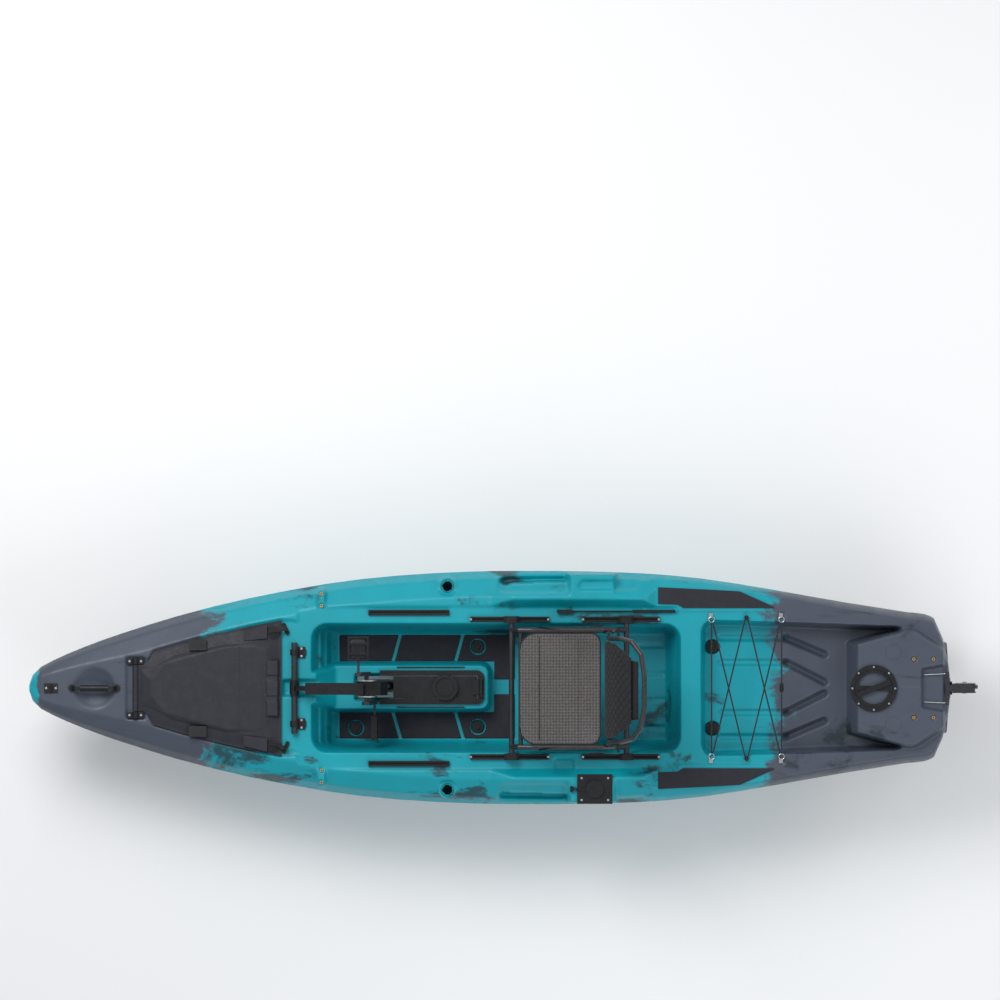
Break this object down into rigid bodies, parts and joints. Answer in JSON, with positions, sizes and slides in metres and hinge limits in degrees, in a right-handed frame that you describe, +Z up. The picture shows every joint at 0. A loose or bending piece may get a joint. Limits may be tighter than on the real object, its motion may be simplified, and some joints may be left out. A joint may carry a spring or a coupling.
{
  "type": "pedal boat",
  "caption": "Sit-on-top pedal kayak with a swing-up propeller drive, framed mesh seat, bow and stern hatches, tank well and lifting rudder.",
  "frame": {"origin": "amidships on the centreline, level with the lowest line of the keel", "axes": "+X aft to the stern, +Y to starboard, +Z up"},
  "size_m": [3.782, 0.9296, 1.0483],
  "materials": {
    "hull_plastic": "rotomoulded polyethylene, teal with blue-grey ends",
    "liner_plastic": "moulded",
    "black_plastic": "moulded glass-filled plastic",
    "lid_plastic": "textured plastic",
    "drive_plastic": "glass-filled nylon",
    "black_tube": "satin powder coat on aluminium tube",
    "bare_metal": "brushed",
    "steel": "stainless, brushed",
    "brass": "turned",
    "foam": "closed-cell foam sheet, matt",
    "seal_rubber": "soft seal",
    "seat_mesh_fabric": "open woven mesh, grey",
    "back_fabric": "padded mesh, black",
    "webbing": "woven webbing",
    "cord": "braided shock cord"
  },
  "bodies": {
    "hull": {"hull": "hull_plastic", "skid_plate": "black_plastic", "bow_handle": "black_plastic", "bow_padeye": "black_plastic", "hinge_saddles": "black_plastic", "hinge_rod": "black_plastic", "hatch_gasket": "seal_rubber", "latch_keepers": "black_plastic", "threaded_inserts": "brass", "gear_tracks": "black_plastic", "rod_holders": "liner_plastic", "mount_plate": "black_plastic", "scupper_plugs": "black_plastic", "seat_tracks": "black_plastic", "floor_pads": "foam", "gunwale_pads": "foam", "d_rings": "steel", "bungee_buttons": "black_plastic", "bungee_cords": "cord", "stern_hatch_ring": "black_plastic", "rudder_bracket": "black_plastic", "rudder_cables": "steel", "steering_guide": "black_plastic", "drive_crossbar": "black_tube", "crossbar_saddles": "black_plastic", "well_frame": "black_plastic", "well_cords": "cord", "hull_screws": "steel"},
    "hatch": {"hatch_lid": "lid_plastic", "hatch_side_pads": "seal_rubber"},
    "latch_p": {"latch_port": "black_plastic"},
    "latch_s": {"latch_starboard": "black_plastic"},
    "cap": {"plate_cap": "black_plastic"},
    "stern_lid": {"stern_hatch_lid": "black_plastic"},
    "rudder": {"rudder_head": "black_tube", "rudder_bolt": "steel"},
    "blade": {"rudder_blade": "black_plastic"},
    "steering": {"steering_handle": "black_plastic"},
    "seat": {"seat_frame": "black_tube", "seat_clamps": "black_plastic", "seat_mesh": "seat_mesh_fabric", "seat_straps": "webbing", "strap_buckles": "black_plastic"},
    "seat_back": {"seat_back_frame": "black_tube", "seat_back_mesh": "back_fabric", "seat_back_pad": "back_fabric"},
    "drive": {"drive_arm": "drive_plastic", "head_cover_port": "drive_plastic", "head_cover_starboard": "drive_plastic", "drive_leg": "drive_plastic", "drive_fin": "drive_plastic"},
    "cover": {"well_cover": "black_plastic"},
    "crank": {"crank": "black_tube", "crank_discs": "bare_metal"},
    "pedal_p": {"pedal_port": "drive_plastic"},
    "pedal_s": {"pedal_starboard": "drive_plastic"},
    "shaft": {"drive_shaft": "steel"},
    "prop": {"prop_shaft": "steel", "propeller": "drive_plastic"}
  },
  "joints": [
    {"name": "hatch_open", "type": "hinge", "parent": "hull", "child": "hatch", "pos_m": [-1.407, 0, 0.366], "axis": [0, -1, 0], "range_deg": [0, 100]},
    {"name": "latch_port_turn", "type": "hinge", "parent": "hatch", "child": "latch_p", "pos_m": [-0.861, -0.22426, 0.37], "axis": [0, 0, -1], "range_deg": [0, 90]},
    {"name": "latch_starboard_turn", "type": "hinge", "parent": "hatch", "child": "latch_s", "pos_m": [-0.861, 0.22426, 0.37], "axis": [0, 0, 1], "range_deg": [0, 90]},
    {"name": "plate_cap_open", "type": "hinge", "parent": "hull", "child": "cap", "pos_m": [0.325, -0.399, 0.4139], "axis": [0, -1, 0], "range_deg": [0, 140]},
    {"name": "stern_lid_turn", "type": "hinge", "parent": "hull", "child": "stern_lid", "pos_m": [1.523, 0, 0.4], "axis": [0, 0, 1], "range_deg": [0, 60]},
    {"name": "rudder_steer", "type": "hinge", "parent": "hull", "child": "rudder", "pos_m": [1.85, 0, 0.33], "axis": [0, 0, 1], "range_deg": [-40, 40], "deforming": ["rudder_cables"]},
    {"name": "rudder_lift", "type": "hinge", "parent": "rudder", "child": "blade", "pos_m": [1.89, 0, 0.286], "axis": [0, -1, 0], "range_deg": [0, 110]},
    {"name": "steering_slide", "type": "slide", "parent": "hull", "child": "steering", "axis": [1, 0, 0], "range_m": [-0.026, 0.026]},
    {"name": "seat_slide", "type": "slide", "parent": "hull", "child": "seat", "axis": [1, 0, 0], "range_m": [-0.06, 0.08]},
    {"name": "seat_recline", "type": "hinge", "parent": "seat", "child": "seat_back", "pos_m": [0.472, 0, 0.458], "axis": [0, 1, 0], "range_deg": [-80, 12], "deforming": ["seat_straps", "strap_buckles"]},
    {"name": "drive_tilt", "type": "hinge", "parent": "hull", "child": "drive", "pos_m": [-0.775, 0, 0.3675], "axis": [0, -1, 0], "range_deg": [0, 55]},
    {"name": "cover_open", "type": "hinge", "parent": "hull", "child": "cover", "pos_m": [-0.034, 0, 0.231], "axis": [0, 1, 0], "range_deg": [0, 99]},
    {"name": "crank_spin", "type": "hinge", "parent": "drive", "child": "crank", "pos_m": [-0.488, 0, 0.4375], "axis": [0, 1, 0], "continuous": true},
    {"name": "pedal_port_spin", "type": "hinge", "parent": "crank", "child": "pedal_p", "pos_m": [-0.45848, -0.16, 0.27008], "axis": [0, 1, 0], "continuous": true},
    {"name": "pedal_starboard_spin", "type": "hinge", "parent": "crank", "child": "pedal_s", "pos_m": [-0.51752, 0.16, 0.60492], "axis": [0, 1, 0], "continuous": true},
    {"name": "shaft_spin", "type": "hinge", "parent": "drive", "child": "shaft", "pos_m": [-0.488, 0, 0.4375], "axis": [-0.101, 0, 0.9949], "continuous": true},
    {"name": "prop_spin", "type": "hinge", "parent": "drive", "child": "prop", "pos_m": [-0.335, 0, -0.055], "axis": [1, 0, 0], "continuous": true}
  ],
  "couplings": [
    {"joint": "cover_open", "follows": "drive_tilt", "ratio": 1.8},
    {"joint": "steering_slide", "follows": "rudder_steer", "m_per_rad": 0.0358},
    {"joint": "shaft_spin", "follows": "crank_spin", "ratio": -5},
    {"joint": "prop_spin", "follows": "crank_spin", "ratio": 10}
  ]
}
